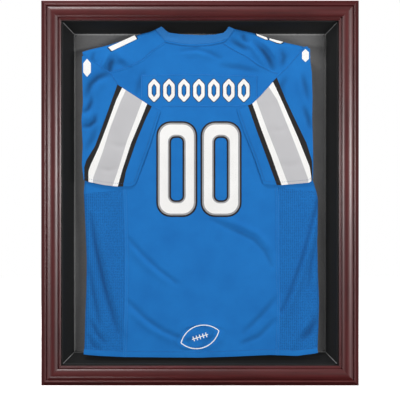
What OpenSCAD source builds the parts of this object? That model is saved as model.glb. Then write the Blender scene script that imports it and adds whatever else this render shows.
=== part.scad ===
// Wall-hung display case for a jersey.
// A mitred moulding door with a clear panel is hinged on a shallow wooden case.
// The case holds a moulded tray, and the jersey hangs in it on a clear rod.
// X runs to the right as the case is looked at, Z runs up, and the wall is the
// plane y = 0, so the door's face looks along -Y. The origin is the middle of
// the case's back.

/* [Overall] */
// Width over the door moulding
case_w = 871; // [730:1:1100]
// Height over the door moulding
case_h = 1056; // [880:1:1300]
// Depth from the wall to the front of the moulding
case_depth = 76; // [72:1:95]

/* [Door] */
// Width of the moulding's face
face_w = 54.5; // [48:0.5:70]
// Thickness of the moulding
moulding_t = 24; // [22:0.5:30]
// Width of the rabbet that the clear panel sits in
rabbet_w = 8; // [6:0.5:10]
// Depth of the rabbet from the door's back
rabbet_depth = 9; // [8.5:0.5:12]
// Thickness of the clear panel
glazing_t = 3; // [2:0.5:4]
// Clearance around the clear panel
glazing_gap = 1; // [0.5:0.1:2]
// Thickness of the strips that hold the clear panel
retainer_t = 5; // [3:0.5:5]
// Gap between the closed door and the case
door_gap = 0.8; // [0.6:0.1:1.5]
// How far the door oversails the case on every side
door_overhang = 7; // [6.9:0.1:10]

/* [Case] */
// Thickness of the case's boards
board_t = 12; // [10:0.5:18]
// Width of the rails across the case's back
rail_w = 55; // [45:1:60]
// Thickness of the rails across the case's back
rail_t = 18; // [16:1:22]
// Thickness of the rear panel
panel_t = 4; // [3:0.5:6]
// Overlap of the rear panel on the boards and the rails
panel_lap = 7; // [6:0.5:8]
// Section of the cleats that carry the tray's rim
cleat_w = 20; // [15:1:24]

/* [Tray] */
// How far the tray's mouth stands inside the door's sight edge
tray_step = 3.3; // [1:0.1:8]
// How far each wall leans in between the mouth and the floor
wall_lean = 28; // [15:0.5:32]
// Thickness of the tray
tray_t = 2.5; // [2:0.1:3]
// Corner radius of the tray's mouth
tray_r = 11; // [6:0.5:20]
// Thickness of the backing board on the tray's floor
backing_t = 2; // [1:0.5:3]
// Gap between the backing board and the tray's walls
backing_gap = 3; // [1:0.5:6]

/* [Hinges and catches] */
// Length of each hinge
hinge_h = 50; // [40:1:70]
// Radius of a hinge's knuckles
knuckle_r = 3; // [2.6:0.1:3]
// Radius of a hinge's pin
pin_r = 1.2; // [1:0.1:1.5]
// Running clearance of the door's knuckle on the pin
pin_gap = 0.05; // [0.03:0.01:0.1]
// Thickness of a hinge's leaves
leaf_t = 1.2; // [1:0.1:1.4]
// Width of a leaf's seat on the wood
leaf_w = 10; // [9:0.5:11]
// Distance of the outer hinges from the middle one
hinge_pitch = 380; // [300:1:400]
// Radius of a catch magnet
magnet_r = 4; // [3:0.5:4.5]

/* [Hangers] */
// Distance between the two hangers
hanger_pitch = 406.4; // [300:0.1:500]
// Radius of a hanger's entry hole
hanger_r = 4.5; // [4:0.1:6]
// Width of a hanger's slot
hanger_slot = 4.4; // [3:0.1:5]

/* [Rod] */
// Diameter of the clear rod
rod_d = 12.7; // [10:0.1:15.5]
// Clear distance from each rod end to the tray's side
rod_end_gap = 44.7; // [40:0.1:80]
// Height of the tray floor's top edge over the rod
rod_drop = 67; // [60:1:90]
// Distance of the rod's middle from the backing board
rod_stand = 21.5; // [21:0.5:23]
// Clearance between the rod and its cradles
rod_gap = 0.3; // [0.2:0.05:0.5]
// Width of a bracket's cradle along the rod
cradle_w = 12; // [8:1:16]
// Wall of a bracket's cradle
cradle_t = 2.5; // [2:0.1:3]

/* [Jersey] */
// Distance from the jersey's side to the side of the tray's floor
jersey_side = 27; // [20:1:60]
// How far the hem hangs below the tray floor's lower edge
hem_drop = 12; // [-40:1:14]
// Thickness of the jersey's body panels as they hang
cloth_t = 3; // [2:0.5:3]
// Thickness of a folded sleeve
sleeve_t = 6; // [4:0.5:6]
// Distance from the top of the shoulders to a sleeve's hem
sleeve_drop = 416; // [360:1:450]
// Height of the digits
number_h = 264; // [200:1:280]
// Width of one digit
number_w = 113; // [90:1:115]
// Width of a digit's stroke
stroke_w = 46; // [30:1:50]
// Width of the name plate
plate_w = 322; // [250:1:330]
// Height of the name plate
plate_h = 88; // [60:1:92]

/* [Hidden] */

$fn = 48;
mahogany = [0.30, 0.12, 0.12];
case_black = [0.10, 0.09, 0.09];
steel = [0.72, 0.72, 0.70];
jersey_blue = [0.15, 0.44, 0.71];

// each screw and pin: its diameter, length and head diameter
retainer_pin = [1.2, 12, 2.2];
hinge_screw = [2.8, 14, 5];
case_screw = [4, 40, 7.5];
panel_screw = [3, 12, 5.5];
tray_screw = [3, 14, 5.5];

box_w = case_w - 2 * door_overhang;
box_h = case_h - 2 * door_overhang;
box_depth = case_depth - moulding_t - door_gap;
inner_w = box_w - 2 * board_t;
inner_h = box_h - 2 * board_t;
door_y = -(box_depth + door_gap);
sight_w = case_w - 2 * face_w;
sight_h = case_h - 2 * face_w;

// the clear panel and its strips, as depths in front of the door's back
glazing_v = rabbet_depth - glazing_t;
retainer_w = rabbet_w - 1.5;
pane_w = sight_w + 2 * (rabbet_w - glazing_gap);
pane_h = sight_h + 2 * (rabbet_w - glazing_gap);

// the tray, its rim just behind the closed door
rim_y = -(box_depth - 0.4);
mouth_w = sight_w - 2 * tray_step;
mouth_h = sight_h - 2 * tray_step;
floor_w = mouth_w - 2 * wall_lean;
floor_h = mouth_h - 2 * wall_lean;
floor_y = -(panel_t + tray_t);
backing_y = floor_y - backing_t;
rim_gap = 0.5;
wall_side = tray_t * 1.2;

// the hinge line, in the middle of the door gap and outside the case's left side
hinge_side = knuckle_r + 0.6;
hinge_x = -(box_w / 2 + hinge_side);
hinge_y = -(box_depth + door_gap / 2);
knuckle_h = hinge_h / 3;
hinge_slack = 0.2;
leaf_play = 0.1;
pin_head = 0.8;

// places of the catches, the hangers and the rod
catch_z = [-0.36 * box_h, 0.36 * box_h];
rail_z = inner_h / 2 - rail_w / 2;
hanger_z = rail_z - 4;
hanger_plate = [50, 28, 2];
rod_l = floor_w - 2 * rod_end_gap;
rod_y = backing_y - rod_stand;
rod_z = floor_h / 2 - rod_drop;
bracket_x = rod_l / 2 - 13;
cradle_r = rod_d / 2 + rod_gap;
bracket_foot = 4;
bracket_screw_z = [9, -32];

// the jersey: back panel in front of the rod, front panel behind it
half_w = floor_w / 2 - jersey_side;
top_z = floor_h / 2 - 1;
hem_z = -floor_h / 2 - hem_drop;
shoulder_z = top_z - 48;
neck_half = 76;
back_y = rod_y - rod_d / 2 - cradle_t - 1.2;
front_y = rod_y + rod_d / 2 + 3;
sleeve_y = back_y - cloth_t - sleeve_t;
garment_x = -3;
collar_x = -12;

// ---- helpers -------------------------------------------------------------

// draws children in the plane of the door and thickens them from y_back forwards
module upright(y_back, t) {
    translate([0, y_back, 0]) rotate([90, 0, 0]) linear_extrude(t) children();
}

module rounded_rect(w, h, r) {
    square([w - 2 * r, h], center = true);
    square([w, h - 2 * r], center = true);
    for (x = [-1, 1], z = [-1, 1])
        translate([x * (w / 2 - r), z * (h / 2 - r)]) circle(r);
}

// a countersunk wood screw, head at the origin, pointing down -Z
module screw_blank(size) {
    d = size[0];
    l = size[1];
    head_d = size[2];
    head_h = (head_d - d) / 2;
    translate([0, 0, -head_h]) cylinder(h = head_h, d1 = d, d2 = head_d);
    translate([0, 0, -(l - d)]) cylinder(h = l - d - head_h, d = d);
    translate([0, 0, -l]) cylinder(h = d, d1 = 0.4, d2 = d);
}

module screw(size) {
    slot = [0.55 * size[2], 0.16 * size[2], 0.5 * size[0]];
    difference() {
        screw_blank(size);
        cube(slot, center = true);
        rotate([0, 0, 90]) cube(slot, center = true);
    }
}

// ---- door ----------------------------------------------------------------

// the moulding's section: x from the outer edge inwards, y from the back forwards
module moulding_section() {
    step = rabbet_depth + 4;
    crown_r = 23;
    difference() {
        union() {
            polygon([[0, 0], [face_w - rabbet_w, 0], [face_w - rabbet_w, rabbet_depth],
                [face_w, rabbet_depth], [face_w, step - 1], [face_w - 2, step],
                [face_w - 9, step + 1.5], [face_w - 9, moulding_t - 8], [16, moulding_t - 8],
                [12, moulding_t - 5], [8.8, moulding_t - 5.6], [0, moulding_t - 14]]);
            translate([11.8, moulding_t - 4.7]) circle(3.2);
            translate([face_w - 5, step + 0.4]) circle(2.6);
            intersection() {
                translate([face_w - 24, moulding_t - crown_r]) circle(crown_r, $fn = 120);
                translate([16, 0]) square([face_w - 25, moulding_t]);
            }
        }
        translate([0, -moulding_t]) square([face_w, moulding_t]);
        translate([face_w - rabbet_w, -1]) square([rabbet_w + 1, rabbet_depth + 1]);
    }
}

// a rail of the given length, outer edge up, back on y = 0
module mitred_rail(length) {
    intersection() {
        rotate([180, 90, 0]) linear_extrude(length, center = true) moulding_section();
        rotate([90, 0, 0]) linear_extrude(3 * moulding_t, center = true)
            polygon([[-length / 2, 0], [length / 2, 0],
                [length / 2 - face_w, -face_w], [face_w - length / 2, -face_w]]);
    }
}

// the two-legged wedges that lock the mitres, pressed into the door's back
module wedge_shapes() {
    leg = 7;
    t = 0.8;
    for (sx = [-1, 1], sz = [-1, 1], u = [14, 30])
        at_corner(sx, sz) translate([u, door_y - 10, u]) {
            cube([leg, 10, t]);
            cube([t, 10, leg]);
        }
}

// places children at a corner of the door, x and z running inwards from it
module at_corner(sx, sz) {
    mirror([sx > 0 ? 1 : 0, 0, 0]) mirror([0, 0, sz > 0 ? 1 : 0])
        translate([-case_w / 2, 0, -case_h / 2]) children();
}

module door_top_rail() {
    color(mahogany) difference() {
        translate([0, door_y, case_h / 2]) mitred_rail(case_w);
        wedge_shapes();
        at_retainer_pins() screw_blank(retainer_pin);
    }
}

module door_bottom_rail() {
    color(mahogany) difference() {
        translate([0, door_y, -case_h / 2]) rotate([0, 180, 0]) mitred_rail(case_w);
        wedge_shapes();
        at_retainer_pins() screw_blank(retainer_pin);
    }
}

module door_left_stile() {
    color(mahogany) difference() {
        translate([-case_w / 2, door_y, 0]) rotate([0, -90, 0]) mitred_rail(case_h);
        wedge_shapes();
        at_hinges() {
            translate([-door_overhang, -knuckle_r - 0.4, -hinge_h / 2 - pin_head - 0.4])
                cube([door_overhang + hinge_side, knuckle_r + 1,
                    hinge_h + 2 * (pin_head + 0.4)]);
            translate([0, -leaf_play - leaf_t, -hinge_h / 2 - 0.1])
                cube([hinge_side + leaf_w + leaf_play, leaf_t + 1, hinge_h + 0.2]);
        }
        at_door_hinge_screws() screw_blank(hinge_screw);
        at_retainer_pins() screw_blank(retainer_pin);
    }
}

module door_right_stile() {
    color(mahogany) difference() {
        translate([case_w / 2, door_y, 0]) rotate([0, 90, 0]) mitred_rail(case_h);
        wedge_shapes();
        at_catches() translate([0, door_y, 0]) rotate([90, 0, 0])
            translate([0, 0, -1]) cylinder(h = 2.2, r = magnet_r + 1.1);
        at_catches() translate([0, door_y, 0]) rotate([-90, 0, 0]) screw_blank(hinge_screw);
        at_retainer_pins() screw_blank(retainer_pin);
    }
}

module corner_wedges() {
    color(steel) wedge_shapes();
}

module glazing_panel() {
    color([0.90, 0.95, 0.97, 0.25]) upright(door_y - glazing_v, glazing_t)
        square([pane_w, pane_h], center = true);
}

// a plain laced ball, printed as thin lines on the panel's face
module glazing_emblem() {
    ball_w = 112;
    ball_h = 64;
    line = 2.6;
    arc_r = (ball_w * ball_w / 4 + ball_h * ball_h / 4) / ball_h;
    color("white") upright(door_y - rabbet_depth, 0.2)
        translate([0, -sight_h / 2 + 79]) rotate(18) {
            difference() {
                ball(arc_r, arc_r - ball_h / 2);
                ball(arc_r - line, arc_r - ball_h / 2);
            }
            square([46, line], center = true);
            for (i = [-2:2]) translate([i * 9, 0]) square([line, 13], center = true);
        }
}

module ball(r, off) {
    intersection() {
        translate([0, off]) circle(r, $fn = 96);
        translate([0, -off]) circle(r, $fn = 96);
    }
}

// four strips behind the clear panel, butted at the corners
module retainer_strips() {
    y = door_y - glazing_v + retainer_t;
    color(mahogany) difference() {
        union() {
            for (s = [-1, 1]) {
                upright(y, retainer_t)
                    translate([s * (sight_w / 2 + rabbet_w - retainer_w / 2), 0])
                        square([retainer_w, pane_h + 1], center = true);
                upright(y, retainer_t)
                    translate([0, s * (sight_h / 2 + rabbet_w - retainer_w / 2)])
                        square([sight_w + 2 * (rabbet_w - retainer_w) - 0.4, retainer_w],
                            center = true);
            }
        }
        at_retainer_pins() screw_blank(retainer_pin);
    }
}

// pins through the strips into the moulding, five to each strip
module at_retainer_pins() {
    y = door_y - glazing_v + retainer_t / 2;
    for (s = [-1, 1], i = [-2:2]) {
        translate([s * (sight_w / 2 + rabbet_w - retainer_w), y, i * 0.22 * sight_h])
            rotate([0, -s * 90, 0]) children();
        translate([i * 0.22 * sight_w, y, s * (sight_h / 2 + rabbet_w - retainer_w)])
            rotate([s > 0 ? 180 : 0, 0, 0]) children();
    }
}

module retainer_pins() {
    color(steel) at_retainer_pins() screw_blank(retainer_pin);
}

// ---- hinges --------------------------------------------------------------

// places children on the hinge line at each hinge
module at_hinges() {
    for (i = [-1:1]) translate([hinge_x, hinge_y, i * hinge_pitch]) children();
}

module knuckle(z, r_bore) {
    h = knuckle_h - hinge_slack;
    translate([0, 0, z]) difference() {
        union() {
            cylinder(h = h, r = knuckle_r, center = true);
            children();
        }
        cylinder(h = h + 1, r = r_bore, center = true);
    }
}

// the flat of a leaf, from the hinge line to its edge on the wood
module leaf_flat(y, h) {
    translate([0, y, -h / 2]) cube([hinge_side + leaf_w, leaf_t, h]);
}

module hinge_case_leaves() {
    color(steel) difference() {
        at_hinges() {
            for (s = [-1, 1]) knuckle(s * knuckle_h, pin_r)
                leaf_flat(leaf_play, knuckle_h - hinge_slack);
            translate([hinge_side, leaf_play, -hinge_h / 2 + hinge_slack / 2])
                cube([leaf_w, leaf_t, hinge_h - hinge_slack]);
        }
        at_case_hinge_screws() screw_blank(hinge_screw);
    }
}

module hinge_door_leaves() {
    color(steel) difference() {
        at_hinges() {
            knuckle(0, pin_r + pin_gap)
                leaf_flat(-leaf_play - leaf_t, knuckle_h - hinge_slack);
            translate([hinge_side, -leaf_play - leaf_t, -hinge_h / 2 + hinge_slack / 2])
                cube([leaf_w, leaf_t, hinge_h - hinge_slack]);
        }
        at_door_hinge_screws() screw_blank(hinge_screw);
    }
}

// pins run right through each hinge, with a button head at both ends
module hinge_pins() {
    color(steel) at_hinges() {
        cylinder(h = hinge_h, r = pin_r, center = true);
        for (s = [-1, 1]) translate([0, 0, s * (hinge_h + pin_head) / 2])
            cylinder(h = pin_head, r = knuckle_r - 0.4, center = true);
    }
}

module at_case_hinge_screws() {
    at_hinges() for (z = [-1:1])
        translate([hinge_side + leaf_w / 2, leaf_play, z * hinge_h * 0.32])
            rotate([90, 0, 0]) children();
}

module at_door_hinge_screws() {
    at_hinges() for (z = [-1:1])
        translate([hinge_side + leaf_w / 2, -leaf_play, z * hinge_h * 0.32])
            rotate([-90, 0, 0]) children();
}

module hinge_case_screws() {
    color(steel) at_case_hinge_screws() screw(hinge_screw);
}

module hinge_door_screws() {
    color(steel) at_door_hinge_screws() screw(hinge_screw);
}

// ---- catches -------------------------------------------------------------

// the catches sit in the middle of the right board's front edge
module at_catches() {
    for (z = catch_z) translate([box_w / 2 - board_t / 2, 0, z]) children();
}

module catch_magnets() {
    color(steel) at_catches() translate([0, -box_depth, 0]) rotate([-90, 0, 0])
        cylinder(h = 4, r = magnet_r);
}

module strike_discs() {
    color(steel) at_catches() difference() {
        translate([0, door_y, 0]) rotate([90, 0, 0]) cylinder(h = 1.2, r = magnet_r + 1);
        translate([0, door_y, 0]) rotate([-90, 0, 0]) screw_blank(hinge_screw);
    }
}

module strike_screws() {
    color(steel) at_catches() translate([0, door_y, 0]) rotate([-90, 0, 0])
        screw(hinge_screw);
}

// ---- case ----------------------------------------------------------------

// a board along the case's top or bottom, between the side boards
module level_board(s) {
    color(case_black) difference() {
        translate([0, -box_depth / 2, s * (box_h - board_t) / 2])
            cube([inner_w, box_depth, board_t], center = true);
        at_case_screws() screw_blank(case_screw);
    }
}

// a side board, full height, rabbeted at the back for the rear panel
module side_board(s) {
    difference() {
        translate([s * (box_w - board_t) / 2, -box_depth / 2, 0])
            cube([board_t, box_depth, box_h], center = true);
        translate([s * inner_w / 2, -panel_t / 2 + 1, 0])
            cube([2 * panel_lap + 0.2, panel_t + 2, 2 * (rail_z - rail_w / 2 + panel_lap) + 0.2],
                center = true);
        at_case_screws() screw_blank(case_screw);
    }
}

// screws through the side boards into the level boards and the back rails
module at_case_screws() {
    for (s = [-1, 1], level = [-1, 1]) {
        for (y = [0.28, 0.72])
            translate([s * box_w / 2, -y * box_depth, level * (box_h - board_t) / 2])
                rotate([0, s * 90, 0]) children();
        for (z = [-14, 14])
            translate([s * box_w / 2, -rail_t / 2 - 1, level * rail_z + z])
                rotate([0, s * 90, 0]) children();
    }
}

module case_top_board() { level_board(1); }

module case_bottom_board() { level_board(-1); }

module case_left_board() {
    color(case_black) difference() {
        side_board(-1);
        at_hinges() translate([hinge_side - 1, -1, -hinge_h / 2 - 0.1])
            cube([1 + leaf_w + leaf_play, leaf_t + 1 + leaf_play, hinge_h + 0.2]);
        at_case_hinge_screws() screw_blank(hinge_screw);
    }
}

module case_right_board() {
    color(case_black) difference() {
        side_board(1);
        at_catches() translate([0, -box_depth, 0]) rotate([-90, 0, 0])
            cylinder(h = 4, r = magnet_r);
    }
}

module case_screws() {
    color(steel) at_case_screws() screw(case_screw);
}

// a rail across the back, rabbeted on its inner edge for the rear panel and clear of the tray
module back_rail(s) {
    difference() {
        translate([0, -rail_t / 2, s * rail_z]) cube([inner_w, rail_t, rail_w], center = true);
        translate([0, -panel_t / 2 + 1, s * (rail_z - rail_w / 2)])
            cube([inner_w + 1, panel_t + 2, 2 * panel_lap + 0.2], center = true);
        at_case_screws() screw_blank(case_screw);
        at_panel_screws() screw_blank(panel_screw);
        tray_block(-panel_t, wall_side + 0.3);
    }
}

module hanging_rail() {
    pocket_r = hanger_r + 2;
    color(mahogany) difference() {
        back_rail(1);
        at_hangers() {
            translate([0, -hanger_plate[2] / 2 + 1, 0])
                cube([hanger_plate[0] + 0.2, hanger_plate[2] + 2, hanger_plate[1] + 0.2],
                    center = true);
            rotate([90, 0, 0]) cylinder(h = 11, r = pocket_r);
            translate([-pocket_r, -11, 0]) cube([2 * pocket_r, 11, 11]);
        }
        at_hanger_screws() screw_blank(panel_screw);
    }
}

module lower_rail() {
    color(mahogany) back_rail(-1);
}

// keyhole hangers: the entry hole is at the place, the slot runs up from it
module at_hangers() {
    for (s = [-1, 1]) translate([s * hanger_pitch / 2, 0, hanger_z]) children();
}

module at_hanger_screws() {
    at_hangers() for (s = [-1, 1]) translate([s * 19, 0, 0]) rotate([-90, 0, 0]) children();
}

module keyhole_hangers() {
    color(steel) difference() {
        at_hangers() difference() {
            translate([0, -hanger_plate[2] / 2, 0]) cube(hanger_plate_box(), center = true);
            rotate([90, 0, 0]) cylinder(h = 10, r = hanger_r, center = true);
            translate([-hanger_slot / 2, -5, 0]) cube([hanger_slot, 10, 9]);
            translate([0, 0, 9]) rotate([90, 0, 0])
                cylinder(h = 10, r = hanger_slot / 2, center = true);
        }
        at_hanger_screws() screw_blank(panel_screw);
    }
}

function hanger_plate_box() = [hanger_plate[0], hanger_plate[2], hanger_plate[1]];

module hanger_screws() {
    color(steel) at_hanger_screws() screw(panel_screw);
}

module rear_panel() {
    w = inner_w + 2 * panel_lap;
    h = 2 * (rail_z - rail_w / 2 + panel_lap);
    color([0.16, 0.14, 0.13]) difference() {
        upright(0, panel_t) square([w, h], center = true);
        at_panel_screws() screw_blank(panel_screw);
        at_bracket_screws() bracket_nut_blank();
    }
}

module at_panel_screws() {
    for (s = [-1, 1], i = [-2:2])
        translate([i * 0.23 * inner_w, 0, s * (rail_z - rail_w / 2 + panel_lap / 2)])
            rotate([-90, 0, 0]) children();
}

module rear_panel_screws() {
    color(steel) at_panel_screws() screw(panel_screw);
}

// ---- tray ----------------------------------------------------------------

// cleats glued round the inside of the boards, behind the tray's rim
module tray_cleats() {
    y = rim_y + tray_t;
    color(mahogany) difference() {
        upright(y + 18, 18) difference() {
            square([inner_w, inner_h], center = true);
            square([inner_w - 2 * cleat_w, inner_h - 2 * cleat_w], center = true);
        }
        at_tray_screws() screw_blank(tray_screw);
    }
}

// a tapered block with round corners, from the tray's floor out to its mouth
module tray_block(y, grow) {
    translate([0, y, 0]) rotate([90, 0, 0])
        linear_extrude(y - rim_y, slices = 1,
            scale = [(mouth_w + 2 * grow) / (floor_w + 2 * grow),
                (mouth_h + 2 * grow) / (floor_h + 2 * grow)])
            rounded_rect(floor_w + 2 * grow, floor_h + 2 * grow, tray_r + grow);
}

module tray() {
    color([0.06, 0.06, 0.065]) difference() {
        union() {
            tray_block(-panel_t, wall_side);
            upright(rim_y + tray_t, tray_t)
                rounded_rect(inner_w - 2 * rim_gap, inner_h - 2 * rim_gap, 6);
        }
        tray_block(floor_y, 0);
        at_tray_screws() screw_blank(tray_screw);
        at_bracket_screws() bracket_nut_blank();
    }
}

module at_tray_screws() {
    x = inner_w / 2 - cleat_w / 2;
    z = inner_h / 2 - cleat_w / 2;
    for (s = [-1, 1]) {
        for (i = [-1:1]) translate([i * 0.8 * x, rim_y, s * z]) rotate([90, 0, 0]) children();
        for (i = [-1.5:1.5]) translate([s * x, rim_y, i * 0.6 * z]) rotate([90, 0, 0]) children();
    }
}

module tray_screws() {
    color(steel) at_tray_screws() screw(tray_screw);
}

module backing_board() {
    color([0.27, 0.27, 0.28]) difference() {
        upright(floor_y, backing_t) rounded_rect(floor_w - 2 * backing_gap,
            floor_h - 2 * backing_gap, tray_r - backing_gap);
        at_bracket_screws() bracket_nut_blank();
    }
}

// ---- rod and brackets ----------------------------------------------------

// a sleeve nut and a screw at each place, above and below a bracket's arm
module at_bracket_screws() {
    for (s = [-1, 1], z = bracket_screw_z)
        translate([s * bracket_x, backing_y, rod_z + z]) rotate([90, 0, 0]) children();
}

// sleeve nut from the back of the panel to the bracket's foot
module bracket_nut_blank() {
    translate([0, 0, backing_y]) cylinder(h = -backing_y, r = 3);
    translate([0, 0, backing_y]) cylinder(h = 1.2, r = 5.5);
}

module bracket_nuts() {
    color(steel) at_bracket_screws() difference() {
        bracket_nut_blank();
        translate([0, 0, backing_y + 2]) cylinder(h = 20, r = 2);
    }
}

module bracket_screws() {
    color(steel) at_bracket_screws() difference() {
        union() {
            translate([0, 0, backing_y + 2]) cylinder(h = bracket_foot - backing_y - 2, r = 2);
            translate([0, 0, bracket_foot]) cylinder(h = 1.8, r = 3.8);
        }
        translate([0, 0, bracket_foot + 1.4]) cube([5, 0.9, 1.2], center = true);
    }
}

// a foot on the backing board, an arm, and a cradle open at the top
module rod_bracket(x) {
    foot_y = backing_y - bracket_foot;
    outer_r = cradle_r + cradle_t;
    translate([x, 0, 0]) difference() {
        union() {
            translate([-10, foot_y, rod_z - 40]) cube([20, bracket_foot, 56]);
            translate([-cradle_w / 2, 0, 0]) rotate([90, 0, 90]) linear_extrude(cradle_w)
                difference() {
                    union() {
                        polygon([[foot_y, rod_z - 24], [foot_y, rod_z - 1],
                            [rod_y, rod_z - 1], [rod_y, rod_z - outer_r]]);
                        translate([rod_y, rod_z]) circle(outer_r);
                    }
                    translate([rod_y, rod_z]) circle(cradle_r);
                    translate([rod_y - 20, rod_z - 1]) square([20 + foot_y - rod_y, 20]);
                }
        }
        for (z = bracket_screw_z) translate([0, 0, rod_z + z]) rotate([90, 0, 0])
            cylinder(h = 60, r = 2);
    }
}

module left_rod_bracket() { color([0.8, 0.85, 0.87, 0.5]) rod_bracket(-bracket_x); }

module right_rod_bracket() { color([0.8, 0.85, 0.87, 0.5]) rod_bracket(bracket_x); }

// clear rod with chamfered ends
module display_rod() {
    c = 1;
    color([0.85, 0.9, 0.92, 0.4]) translate([0, rod_y, rod_z]) rotate([0, 90, 0]) {
        cylinder(h = rod_l - 2 * c, d = rod_d, center = true);
        for (s = [-1, 1]) translate([0, 0, s * (rod_l - c) / 2])
            rotate([s > 0 ? 0 : 180, 0, 0])
                cylinder(h = c, d1 = rod_d, d2 = rod_d - 2 * c, center = true);
    }
}

// ---- jersey --------------------------------------------------------------

// outline from its right half, mirrored for the left
function both(p) = concat(p, [for (i = [len(p) - 1:-1:0]) [-p[i][0], p[i][1]]]);

module body_shape(half, low) {
    polygon(both([[6, low], [half - 52, low + 4], [half, low + 11], [half + 3, low + 150],
        [half - 5, low + 330], [half, shoulder_z - 370], [half - 8, shoulder_z],
        [half - 82, shoulder_z + 22], [neck_half + 85, top_z - 3], [neck_half, top_z],
        [6, top_z - 7]]));
}

module jersey_back() {
    color(jersey_blue) upright(back_y, cloth_t) body_shape(half_w, hem_z);
}

// the side towards the wall, cut in at the armholes to clear the brackets
module jersey_front() {
    arm = bracket_x - cradle_w / 2 - 12;
    color(jersey_blue) upright(front_y + cloth_t, cloth_t) difference() {
        body_shape(half_w - 6, hem_z + 10);
        for (s = [-1, 1]) translate([s * (arm + 60), shoulder_z - 60])
            square([120, 240], center = true);
    }
}

// the cloth over the rod, from the front panel to the back panel
module jersey_shoulders() {
    color(jersey_blue) upright(front_y, front_y - back_y) intersection() {
        difference() {
            body_shape(half_w, hem_z);
            translate([0, -4]) body_shape(half_w + 20, hem_z);
        }
        for (s = [-1, 1]) translate([s * (neck_half + half_w) / 2 + s * 20, top_z - 30])
            square([half_w - neck_half, 80], center = true);
    }
}

// a sleeve's inner edge follows the body's side, and keeps clear of the plate and the digits
sleeve_in = max(half_w - 221, plate_w / 2 - 59.3, number_w - 11.3);

module sleeve_shape() {
    polygon([[half_w - 20, top_z - 42], [half_w - 114, top_z - 125],
        [sleeve_in + 43, top_z - 194], [sleeve_in, top_z - 210],
        [sleeve_in + 74, top_z - sleeve_drop], [half_w - 22, top_z - sleeve_drop + 4],
        [half_w - 10, top_z - sleeve_drop + 23]]);
}

module left_sleeve() {
    color(jersey_blue) mirror([1, 0, 0]) upright(back_y - cloth_t, sleeve_t) sleeve_shape();
}

module right_sleeve() {
    color(jersey_blue) upright(back_y - cloth_t, sleeve_t) sleeve_shape();
}

// a stripe of the given width across both sleeves, layer by layer forwards
module sleeve_stripe(w, layer) {
    film = 0.4;
    for (s = [0, 1]) mirror([s, 0, 0]) upright(sleeve_y - layer * film, film)
        intersection() {
            sleeve_shape();
            polygon([[half_w - 154 - w / 2, top_z - 120], [half_w - 154 + w / 2, top_z - 120],
                [half_w - 51 + w / 2, top_z - sleeve_drop],
                [half_w - 51 - w / 2, top_z - sleeve_drop]]);
        }
}

module sleeve_stripes_black() { color([0.12, 0.11, 0.11]) sleeve_stripe(108, 0); }

module sleeve_stripes_white() { color("white") sleeve_stripe(84, 1); }

module sleeve_stripes_grey() { color([0.76, 0.76, 0.77]) sleeve_stripe(54, 2); }

// the collar stands forward of the neck edge, its points highest
module jersey_collar() {
    back = back_y - cloth_t;
    color(jersey_blue) intersection() {
        translate([collar_x, 0, 0]) upright(back, 8)
            polygon(both([[4, top_z - 36], [74, top_z - 25], [96, top_z - 1], [90, top_z + 19],
                [74, top_z], [30, top_z - 6], [4, top_z - 7]]));
        rotate([90, 0, 90]) linear_extrude(2 * half_w, center = true)
            polygon([[back, top_z - 50], [back, top_z - 4], [back - 5, top_z + 30],
                [back - 9, top_z + 30], [back - 9, top_z - 50]]);
    }
}

plate_top = top_z - 114;

module name_plate() {
    cut = 34;
    color(jersey_blue) upright(back_y - cloth_t, 0.6) translate([garment_x, 0])
        polygon(both([[10, plate_top - plate_h], [plate_w / 2 - 50, plate_top - plate_h],
            [plate_w / 2, plate_top - plate_h + cut], [plate_w / 2, plate_top],
            [10, plate_top]]));
}

// seven plain hollow lozenges in a row
module name_lozenges() {
    w = 34;
    h = 68;
    pitch = (plate_w - 2 * 25 - w) / 6;
    color("white") upright(back_y - cloth_t - 0.6, 0.5)
        translate([garment_x, plate_top - plate_h / 2])
            for (i = [-3:3]) translate([i * pitch, 0]) difference() {
                lozenge(w, h);
                lozenge(w - 20, h - 30);
            }
}

module lozenge(w, h) {
    polygon([[0, -h / 2], [w / 2, -h / 4], [w / 2, h / 4], [0, h / 2], [-w / 2, h / 4],
        [-w / 2, -h / 4]]);
}

digit_top = plate_top - plate_h - 41;

// two plain zeros side by side, grown by the given margin
module zeros(grow) {
    for (s = [-1, 1]) translate([garment_x + s * (number_w + 9) / 2, digit_top - number_h / 2])
        difference() {
            rounded_rect(number_w + 2 * grow, number_h + 2 * grow, 34 + grow);
            rounded_rect(number_w - 2 * stroke_w + 14 - 2 * grow,
                number_h - 2 * stroke_w - 2 * grow, 9 - grow);
        }
}

module number_border() {
    color([0.12, 0.11, 0.11]) upright(back_y - cloth_t, 0.5) zeros(0);
}

module number_digits() {
    color("white") upright(back_y - cloth_t - 0.5, 0.5) zeros(-8);
}

// ---- every node ----------------------------------------------------------

door_top_rail();
door_bottom_rail();
door_left_stile();
door_right_stile();
corner_wedges();
glazing_panel();
glazing_emblem();
retainer_strips();
retainer_pins();
hinge_door_leaves();
hinge_door_screws();
strike_discs();
strike_screws();
case_top_board();
case_bottom_board();
case_left_board();
case_right_board();
case_screws();
hanging_rail();
lower_rail();
tray_cleats();
rear_panel();
rear_panel_screws();
keyhole_hangers();
hanger_screws();
hinge_case_leaves();
hinge_case_screws();
hinge_pins();
catch_magnets();
tray();
tray_screws();
backing_board();
left_rod_bracket();
right_rod_bracket();
bracket_screws();
bracket_nuts();
display_rod();
jersey_back();
jersey_front();
jersey_shoulders();
left_sleeve();
right_sleeve();
sleeve_stripes_black();
sleeve_stripes_white();
sleeve_stripes_grey();
jersey_collar();
name_plate();
name_lozenges();
number_border();
number_digits();
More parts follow.
